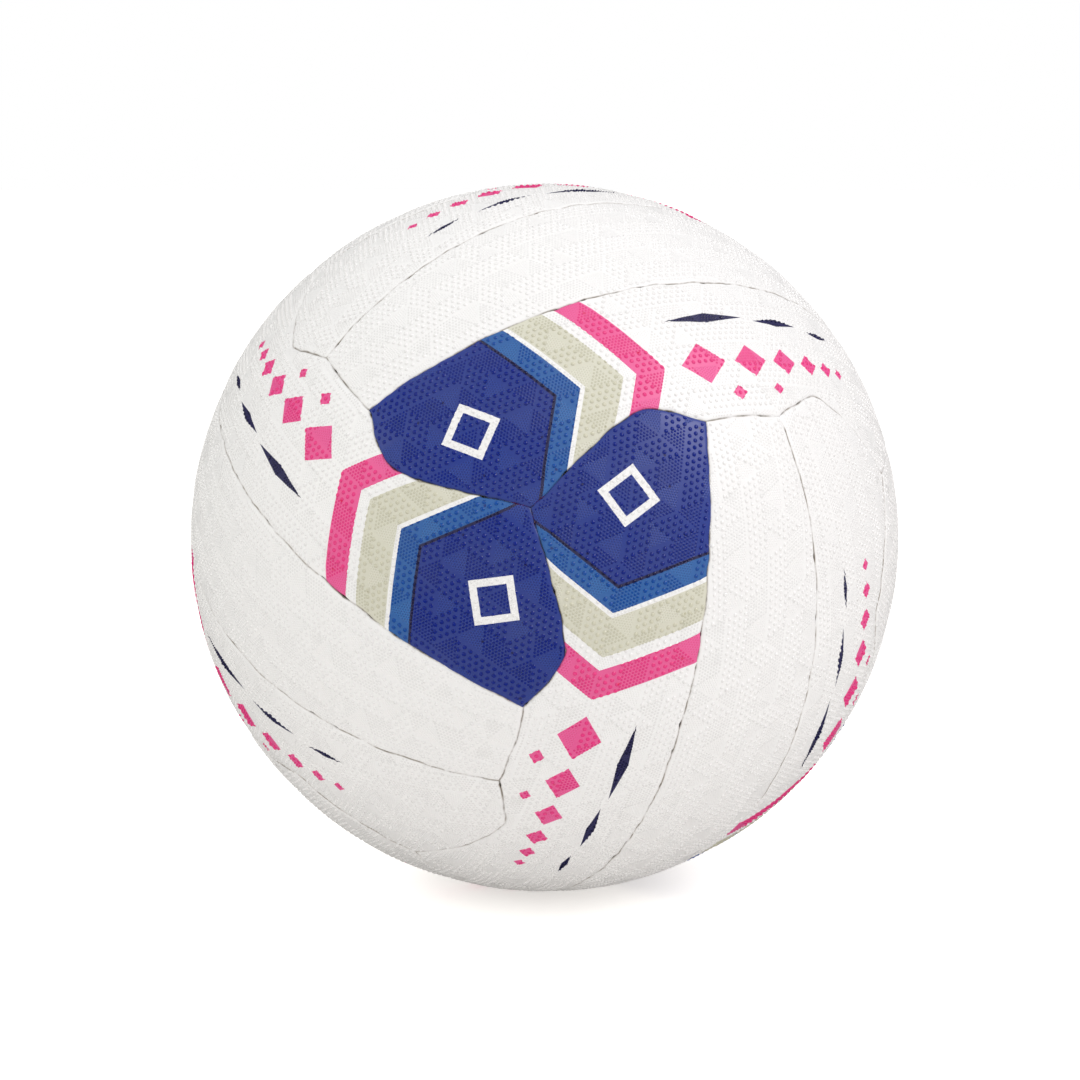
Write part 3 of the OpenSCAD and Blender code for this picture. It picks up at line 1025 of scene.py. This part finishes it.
def map_places(nodes):
    """Flat places in metres, and a mask of the outside, from the panel's own map."""
    uv = nodes.add("ShaderNodeUVMap", uv_map=UV_NAME).outputs[0]
    both = nodes.add("ShaderNodeSeparateXYZ", {"Vector": uv}).outputs
    along = nodes.math("MULTIPLY", nodes.math("SUBTRACT", both["X"], MAP_MIDDLE), MAP_SIDE)
    across = nodes.math("MULTIPLY", nodes.math("SUBTRACT", both["Y"], OUTSIDE_V), MAP_SIDE)
    return along, across, nodes.math("GREATER_THAN", both["Y"], MAP_MIDDLE)


def inked(nodes, ink, along, across, pimple, grip):
    """The printed colour, darker where the ink is thick and, as painted shade, on pimples and grain dots."""
    # Painted shade: the gamma grows on pimples and grain dots, partly for thicker ink and partly for relief
    # contrast.
    depth = nodes.math("MULTIPLY_ADD", pimple, THICK_INK_AND_SHADE - THIN_INK, THIN_INK)
    depth = nodes.math("MULTIPLY_ADD", grip, GRAIN_INK_AND_SHADE, depth)
    spot = nodes.add("ShaderNodeCombineXYZ", {"X": along, "Y": across}).outputs[0]
    cells = {"Vector": spot, "Scale": 1 / SPECK_CELL}
    speck = nodes.add("ShaderNodeTexVoronoi", cells, voronoi_dimensions="2D").outputs["Distance"]
    on_speck = nodes.math("LESS_THAN", speck, SPECK_R / SPECK_CELL)
    depth = nodes.math("MULTIPLY_ADD", on_speck, SPECK_INK, depth)
    return nodes.add("ShaderNodeGamma", {"Color": ink, "Gamma": depth}).outputs[0]


def soiled(nodes, colour, place):
    """The colour with specks of dirt beside the seams, whose distance the mesh gives in millimetres."""
    near = nodes.add("ShaderNodeAttribute", attribute_name="seam_distance").outputs["Fac"]
    reach = {"Value": near, "From Min": DIRT_NEAR, "From Max": DIRT_FAR, "To Min": 1.0, "To Max": 0.0}
    deep = nodes.add("ShaderNodeMapRange", reach).outputs[0]
    noise = {"Vector": place, "Scale": DIRT_SCALE, "Detail": DIRT_DETAIL, "Roughness": DIRT_ROUGHNESS}
    speck = nodes.add("ShaderNodeTexNoise", noise).outputs["Fac"]
    spots = {"Value": speck, "From Min": DIRT_LOW, "From Max": DIRT_HIGH}
    dirty = nodes.math("MULTIPLY", deep, nodes.add("ShaderNodeMapRange", spots).outputs[0])
    return nodes.mix(dirty, colour, SEAM_DIRT, "MULTIPLY")


# The gamma on the pimples is partly painted shade.
print("ink is %.2f thick on the skin and %.2f on the pimples" % (THIN_INK, THICK_INK_AND_SHADE))

# %% Rubber with a colour given by a function
WHITE = srgb(243, 242, 241)
WHITE_TINT = srgb(222, 219, 212)
WHITE_CLOUD = 18 * mm
PLAIN_AMOUNT = 0.1
PRINTED_AMOUNT = 0.02
SKIN_ROUGHNESS = 0.41
SKIN_SHINE = 1.0
SKIN_IOR = 1.58
POLISH = 0.18
GRAIN_H = 0.085 * mm
SKIN_H = 0.012 * mm
SKIN_SCALE = 2600.0
SKIN_BUMP = 0.8


def make_rubber(name, paint=None):
    """White pimpled rubber, smoother on the pimples. paint, if given, returns the printed colour."""
    material, nodes, shader = new_material(name, SKIN_ROUGHNESS, Specular_IOR_Level=SKIN_SHINE, IOR=SKIN_IOR)
    along, across, outside = map_places(nodes)
    place = object_place(nodes)
    pimple = nodes.add("ShaderNodeAttribute", attribute_name="pimple").outputs["Fac"]
    grip = use_group(nodes, grain, {"Along": along, "Across": across})["Height"]
    colour = inked(nodes, paint(nodes, along, across, WHITE), along, across, pimple, grip) if paint else WHITE
    clouds = {"Vector": place, "Size": WHITE_CLOUD, "Colour": colour, "Tint": WHITE_TINT}
    amount = PRINTED_AMOUNT if paint else PLAIN_AMOUNT
    worn = use_group(nodes, uneven, {**clouds, "Amount": amount, "Roughness": SKIN_ROUGHNESS})
    nodes.put(shader.inputs["Base Color"], soiled(nodes, worn["Colour"], place))
    nodes.put(shader.inputs["Roughness"], nodes.math("MULTIPLY_ADD", pimple, -POLISH, worn["Roughness"]))
    noise = {"Vector": place, "Scale": SKIN_SCALE, "Detail": 2.0}
    skin = nodes.add("ShaderNodeTexNoise", noise).outputs["Fac"]
    height = nodes.math("ADD", nodes.math("MULTIPLY", grip, GRAIN_H), nodes.math("MULTIPLY", skin, SKIN_H))
    put_bump(nodes, shader, nodes.math("MULTIPLY", height, outside), SKIN_BUMP)
    return material


plain_rubber = make_rubber("white_rubber")
print("made", plain_rubber.name)

# %% [markdown]
# ## Cloth, thread and the inner rubber
#
# The layers under the cover keep their measured shape and only get finishes. Cloth is a plain weave, made of
# waves along three directions, multiplied in pairs. It reads the place in space, so it runs on over every
# layer without a map. The thread has the slanting bands of a twisted cord, and the black rubber is dusted
# with talc.

# %% Shared effect: plain weave
weave, n, given, result = new_group(
    "plain_weave",
    [("Vector", "NodeSocketVector", None), ("Pitch", "NodeSocketFloat", 0.6 * mm)],
    [("Height", "NodeSocketFloat")],
)
axes = n.add("ShaderNodeSeparateXYZ", {"Vector": given["Vector"]}).outputs
counts = [n.math("DIVIDE", axes[k], given["Pitch"]) for k in "XYZ"]
turns = [n.math("SINE", n.math("MULTIPLY", count, math.pi)) for count in counts]
pair = n.math("MULTIPLY", turns[0], turns[1])
other = n.math("MULTIPLY", turns[1], turns[2])
third = n.math("MULTIPLY", turns[2], turns[0])
n.put(result["Height"], n.math("ABSOLUTE", n.math("ADD", pair, n.math("ADD", other, third))))
print("groups:", [g.name for g in bpy.data.node_groups])

# %% Cloth, thread and inner rubber
CLOTH_ROUGHNESS = 0.85
CLOTH_CLOUD = 9 * mm
CLOTH_AMOUNT = 0.5
CLOTH_H = 0.1 * mm
CLOTH_BUMP = 0.7
THREAD_ROUGHNESS = 0.5
THREAD_CLOUD = 4 * mm
THREAD_AMOUNT = 0.6
THREAD_SLANT = (0.6, 0.5, 0.8)
TWIST_SCALE = 700.0
TWIST_SWAY = 1.5
TWIST_H = 0.08 * mm
TWIST_BUMP = 0.6
INNER_CLOUD = 6 * mm
INNER_SCALE = 2400.0
INNER_H = 0.03 * mm
INNER_BUMP = 0.7


def make_cloth(name, colour, shade, pitch):
    material, nodes, shader = new_material(name, CLOTH_ROUGHNESS)
    place = object_place(nodes)
    height = use_group(nodes, weave, {"Vector": place, "Pitch": pitch})["Height"]
    threads = nodes.mix(height, shade, colour)
    put_worn(nodes, shader, place, CLOTH_CLOUD, threads, shade, CLOTH_AMOUNT, CLOTH_ROUGHNESS)
    put_bump(nodes, shader, nodes.math("MULTIPLY", height, CLOTH_H), CLOTH_BUMP)
    return material


def make_thread(name, colour, shade):
    material, nodes, shader = new_material(name, THREAD_ROUGHNESS)
    place = object_place(nodes)
    slant = nodes.add("ShaderNodeMapping", {"Vector": place, "Rotation": THREAD_SLANT}).outputs[0]
    bands = {"Vector": slant, "Scale": TWIST_SCALE, "Distortion": TWIST_SWAY}
    twist = nodes.add("ShaderNodeTexWave", bands).outputs["Fac"]
    strands = nodes.mix(twist, shade, colour)
    put_worn(nodes, shader, place, THREAD_CLOUD, strands, shade, THREAD_AMOUNT, THREAD_ROUGHNESS)
    put_bump(nodes, shader, nodes.math("MULTIPLY", twist, TWIST_H), TWIST_BUMP)
    return material


def make_inner_rubber(name, colour, dust, amount, roughness):
    material, nodes, shader = new_material(name, roughness)
    place = object_place(nodes)
    put_worn(nodes, shader, place, INNER_CLOUD, colour, dust, amount, roughness)
    noise = {"Vector": place, "Scale": INNER_SCALE, "Detail": 2.0}
    skin = nodes.add("ShaderNodeTexNoise", noise).outputs["Fac"]
    put_bump(nodes, shader, nodes.math("MULTIPLY", skin, INNER_H), INNER_BUMP)
    return material


print("cloth weave, thread twist and rubber skin are %.2f, %.2f and %.2f mm high"
      % (CLOTH_H / mm, TWIST_H / mm, INNER_H / mm))

# %% Finishes of the inner layers
BACKING_PITCH = 0.55 * mm
VALVE_PATCH_PITCH = 0.7 * mm

laminated_cloth = make_cloth("laminated_cloth", srgb(226, 219, 204), srgb(168, 158, 140), BACKING_PITCH)
waxed_thread = make_thread("waxed_thread", srgb(238, 234, 226), srgb(150, 142, 128))
butyl = make_inner_rubber("butyl_rubber", srgb(38, 38, 40), srgb(120, 118, 114), amount=0.7, roughness=0.55)
patch = make_inner_rubber("patch_rubber", srgb(44, 44, 46), srgb(110, 108, 104), amount=0.6, roughness=0.6)
patch_cloth = make_cloth("patch_cloth", srgb(216, 208, 186), srgb(150, 142, 122), VALVE_PATCH_PITCH)
inner_finishes = {
    "backing": laminated_cloth,
    "seam_thread": waxed_thread,
    "bladder": butyl,
    "balance_patch": patch,
    "valve_patch": patch_cloth,
}
dressed = 0
for name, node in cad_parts.items():
    for start, finish in inner_finishes.items():
        if name.startswith(start):
            for slot in node.material_slots:
                slot.material = finish
            dressed += 1
print("inner nodes with a finish:", dressed)

# %% [markdown]
# ## The valve
#
# The seat is one rubber moulding: a stem in the bladder, a flange bonded to it and a neck that shows in the
# cover. The core is pressed into it and takes the needle. Both are round about the valve's own direction, so
# each is one closed outline, spun once round. The outline starts as a plain circle whose points are moved to
# their radius and their height over the ball's centre, in millimetres. The finished piece is tipped to where
# the valve is.

# %% Spin the seat and the core
SEAT_OUTLINE = (
    (1.5, 96.0), (1.5, 98.2), (2.8, 98.2), (2.8, 110.78), (2.88, 110.93), (3.03, 111.0), (3.4, 111.0),
    (3.5, 110.9), (3.7, 110.9), (3.8, 111.0), (4.15, 110.98), (4.4, 110.88), (4.5, 110.68), (4.5, 108.8),
    (4.62, 108.5), (4.9, 108.3), (8.5, 108.07), (12.4, 107.68), (12.85, 107.5), (13.0, 107.15),
    (13.0, 106.55), (12.85, 106.26), (9.5, 106.6), (6.3, 106.82), (6.0, 106.6), (6.0, 96.8), (5.8, 96.2),
    (5.2, 96.0),
)
CORE_OUTLINE = (
    (1.1, 98.2), (1.1, 109.7), (1.2, 109.98), (1.42, 110.3), (1.7, 110.54), (2.05, 110.68), (2.4, 110.7),
    (2.62, 110.67), (2.76, 110.56), (2.8, 110.4), (2.8, 98.5), (2.7, 98.28), (2.5, 98.2),
)
SPIN_STEPS = 48
MERGE_GAP = 0.01 * mm
VALVE_SMOOTH_DEGREES = 40


def spin_piece(name, outline, node, finish):
    start_clean()
    bpy.ops.mesh.primitive_circle_add(vertices=len(outline), radius=1, fill_type="NOTHING")
    piece = bpy.context.object
    piece.name = piece.data.name = name
    set_points(piece.data, np.array([(r * mm, 0, z * mm) for r, z in outline]))
    bpy.ops.object.mode_set(mode="EDIT")
    bpy.ops.mesh.select_all(action="SELECT")
    bpy.ops.mesh.spin(steps=SPIN_STEPS, angle=2 * math.pi, center=(0, 0, 0), axis=(0, 0, 1))
    bpy.ops.mesh.select_all(action="SELECT")
    bpy.ops.mesh.remove_doubles(threshold=MERGE_GAP)
    bpy.ops.mesh.normals_make_consistent(inside=False)
    bpy.ops.object.mode_set(mode="OBJECT")
    bpy.ops.object.shade_smooth_by_angle(angle=math.radians(VALVE_SMOOTH_DEGREES))
    piece.data.transform(Vector(valve_way).to_track_quat("Z", "Y").to_matrix().to_4x4())
    piece.data.materials.append(finish)
    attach(piece, "root")
    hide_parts(node)
    print(name, "has", len(piece.data.polygons), "faces")


SEAT_DUST = srgb(176, 168, 154)
CORE_DUST = srgb(96, 94, 90)
seat_rubber = make_inner_rubber("seat_rubber", srgb(232, 230, 224), SEAT_DUST, amount=0.5, roughness=0.45)
core_rubber = make_inner_rubber("core_rubber", srgb(30, 30, 32), CORE_DUST, amount=0.4, roughness=0.5)
spin_piece("valve_mouth", SEAT_OUTLINE, "valve_seat", seat_rubber)
spin_piece("valve_plug", CORE_OUTLINE, "valve_core", core_rubber)

# %% [markdown]
# ## The printed pattern
#
# The print is a plain set of chevrons and diamonds, in the colours of such balls. The chevrons lie on one end
# of each outer panel, so that three panels meet in blue at a corner, and the diamonds run on from them. Each
# band is a range of one slanted length, listed by its start, its end and its ink. A diamond is a range of two
# lengths added together, listed by its place along and across, its half length, its half width and its ink.
# The frame in the blue has a place, a half size and the share of it that stays blue. All lengths in the lists
# are millimetres.

# %% Inks, bands and diamonds
ROYAL = srgb(8, 46, 146)
NAVY = srgb(38, 36, 88)
MID_BLUE = srgb(14, 92, 170)
SAGE = srgb(214, 212, 193)
PINK = srgb(239, 74, 147)
BAND_AXIS = 6 * mm
BAND_SLANT = 0.55
BANDS = ((55, 200, ROYAL), (54, 55, NAVY), (47, 54, MID_BLUE), (34, 45.5, SAGE), (21, 30, PINK))
DIAMONDS = (
    (8, 6, 7.5, 6.5, PINK), (-9, 6, 6, 5.2, PINK), (-23, 6, 4.8, 4.2, PINK), (-34.5, 6, 3.8, 3.4, PINK),
    (-44, 6, 2.9, 2.6, PINK), (-52, 6, 2.1, 1.9, PINK), (-1, 16, 2.6, 2.3, PINK), (-16.5, 15, 2, 1.8, PINK),
    (1, -9, 14, 1.7, NAVY), (-27, -8, 10, 1.3, NAVY), (-49, -7, 6.5, 1, NAVY),
)
FRAMED_DIAMOND = (80, 7, 9, 0.66)
print("bands:", len(BANDS), "diamonds:", len(DIAMONDS) + 1)


# %% Paint the chevrons and diamonds
def diamond_size(nodes, along, across, u, v, half_long, half_wide):
    """Less than one inside a diamond whose middle is at u, v, in millimetres."""
    far = nodes.math("ABSOLUTE", nodes.math("SUBTRACT", along, u * mm))
    wide = nodes.math("ABSOLUTE", nodes.math("SUBTRACT", across, v * mm))
    return nodes.math("MULTIPLY_ADD", far, 1 / (half_long * mm), nodes.math("DIVIDE", wide, half_wide * mm))


def paint_bands(nodes, along, across, ground):
    """The printed colour at each flat place. ground is the bare rubber's."""
    off = nodes.math("ABSOLUTE", nodes.math("SUBTRACT", across, BAND_AXIS))
    slanted = nodes.math("SUBTRACT", along, nodes.math("MULTIPLY", off, BAND_SLANT))
    colour = ground
    for low, high, ink in BANDS:
        colour = nodes.mix(nodes.between(slanted, low * mm, high * mm), colour, ink)
    for *place, ink in DIAMONDS:
        inside = nodes.math("LESS_THAN", diamond_size(nodes, along, across, *place), 1.0)
        colour = nodes.mix(inside, colour, ink)
    u, v, half, inner = FRAMED_DIAMOND
    size = diamond_size(nodes, along, across, u, v, half, half)
    return nodes.mix(nodes.between(size, inner, 1.0), colour, ground)


printed_rubber = make_rubber("printed_rubber", paint_bands)
for (block, strip), piece in panels.items():
    piece.data.materials.clear()
    piece.data.materials.append(plain_rubber if strip == MIDDLE else printed_rubber)
print("printed panels:", sum(strip != MIDDLE for _, strip in panels))

# %% [markdown]
# ## Camera, floor and light
#
# The photograph looks at the ball from a little above, through a long lens. The floor is white and glows,
# less near the ball's foot, where the dip in its glow is a painted shadow, and faintly to diffuse rays, which
# is painted bounce light on the ball's underside. The light is soft: a bright dome that is stronger overhead,
# a wide key lamp at the right and a faint fill lamp at the left. The camera sees plain white behind the ball.
# The rubber is satin, so floor and dome are dimmed where it mirrors them, or its colours would look washed
# out. What kind of ray asks decides which of these strengths it gets.

# %% Camera
CAMERA_DISTANCE = 795 * mm
CAMERA_UP = math.radians(10)
PHOTO_SIDE = 1080
BALL_AT = (544.5, 537.5)
LENS = 83.4
SENSOR = 36
CLIP_NEAR = 10 * mm

camera_data = bpy.data.cameras.new("camera")
camera = bpy.data.objects.new("camera", camera_data)
bpy.context.collection.objects.link(camera)
camera.location = (0, -CAMERA_DISTANCE * math.cos(CAMERA_UP), CAMERA_DISTANCE * math.sin(CAMERA_UP))
camera.rotation_euler = (math.pi / 2 - CAMERA_UP, 0, 0)
camera_data.lens = LENS
camera_data.sensor_width = SENSOR
camera_data.shift_x = (PHOTO_SIDE / 2 - BALL_AT[0]) / PHOTO_SIDE
camera_data.shift_y = (BALL_AT[1] - PHOTO_SIDE / 2) / PHOTO_SIDE
camera_data.clip_start = CLIP_NEAR
bpy.context.scene.camera = camera
print("camera %.0f mm away, %.0f degrees up" % (CAMERA_DISTANCE / mm, math.degrees(CAMERA_UP)))

# %% Floor
FLOOR_SIDE = 12
FLOOR_ROUGHNESS = 0.9
# The floor's glow dips near the ball's foot and rises further out: a painted shadow under the ball, made warm
# by the glow's colour.
SHADOW_GLOW = 0.54
FLOOR_GLOW = 0.80
SHADOW_CORE_R = 18 * mm
SHADE_R = 50 * mm
PAINTED_BOUNCE_GLOW = 0.25
GLOW_COLOUR = (1, 0.965, 0.93, 1)
FLOOR_WARM = (0.75, 0.74, 0.725, 1)
FLOOR_PALE = (0.6, 0.6, 0.6, 1)
MIRRORED = 0.03

start_clean()
bpy.ops.mesh.primitive_plane_add(size=FLOOR_SIDE, location=(0, 0, cad_low.z))
floor = bpy.context.object
floor.name = "floor"
floor_paint, n, shader = new_material("floor_white", FLOOR_ROUGHNESS, Specular_IOR_Level=0)
rays = n.add("ShaderNodeLightPath").outputs
seen = n.math("MAXIMUM", rays["Is Camera Ray"], rays["Is Transmission Ray"])
shader.inputs["Emission Color"].default_value = GLOW_COLOUR
spot = n.add("ShaderNodeTexCoord").outputs["Object"]
off = n.add("ShaderNodeVectorMath", {0: spot}, operation="LENGTH").outputs["Value"]
# Painted shadow: the glow is least at the foot and full beyond the shade's radius.
reach = {"Value": off, "From Min": SHADOW_CORE_R, "From Max": SHADE_R, "To Min": SHADOW_GLOW, "To Max": FLOOR_GLOW}
shadowed_glow = n.add("ShaderNodeMapRange", reach).outputs[0]
# The floor glows faintly to diffuse rays too: painted bounce light on the ball's underside, though the floor
# is no lamp.
plain = n.math("MULTIPLY", rays["Is Diffuse Ray"], PAINTED_BOUNCE_GLOW)
n.put(shader.inputs["Emission Strength"], n.math("MULTIPLY_ADD", seen, shadowed_glow, plain))
tone = n.mix(rays["Is Glossy Ray"], FLOOR_WARM, tuple(c * MIRRORED for c in FLOOR_WARM))
n.put(shader.inputs["Base Color"], n.mix(rays["Is Camera Ray"], tone, FLOOR_PALE))
floor.data.materials.append(floor_paint)
print("floor", FLOOR_SIDE, "m wide at %.1f mm" % (cad_low.z / mm))

# %% Dome
HORIZON_LIGHT = 0.48
OVERHEAD_LIGHT = 1.51

world = bpy.data.worlds.new("world")
bpy.context.scene.world = world
world.use_nodes = True
n = Nodes(world.node_tree)
sky = world.node_tree.nodes["Background"]
rays = n.add("ShaderNodeLightPath").outputs
seen = n.math("MAXIMUM", rays["Is Camera Ray"], rays["Is Transmission Ray"])
sky.inputs["Color"].default_value = (1, 1, 1, 1)
way = n.add("ShaderNodeTexCoord").outputs["Generated"]
up = n.add("ShaderNodeSeparateXYZ", {"Vector": way}).outputs["Z"]
rise = {"Value": up, "To Min": HORIZON_LIGHT, "To Max": OVERHEAD_LIGHT}
height = n.add("ShaderNodeMapRange", rise).outputs[0]
lit = n.math("MULTIPLY_ADD", rays["Is Glossy Ray"], MIRRORED, rays["Is Diffuse Ray"])
n.put(sky.inputs["Strength"], n.math("MAXIMUM", n.math("MULTIPLY", height, lit), seen))
print("dome from %.2f at the horizon to %.2f overhead" % (HORIZON_LIGHT, OVERHEAD_LIGHT))


# %% Lamps
def add_lamp(name, place, size, watts, colour):
    """A round soft lamp that faces the ball."""
    data = bpy.data.lights.new(name, "AREA")
    data.color = colour
    data.shape = "DISK"
    data.size = size
    data.energy = watts
    lamp = bpy.data.objects.new(name, data)
    bpy.context.collection.objects.link(lamp)
    lamp.location = place
    lamp.rotation_euler = (-Vector(place)).to_track_quat("-Z", "Y").to_euler()


add_lamp("key", place=(1.3, -0.62, 1.2), size=0.9, watts=7.0, colour=(1, 0.96, 1))
add_lamp("fill", place=(-1.9, -0.7, 0.8), size=1.3, watts=2.2, colour=(0.98, 1, 0.8))
bpy.context.scene.view_settings.view_transform = "Standard"
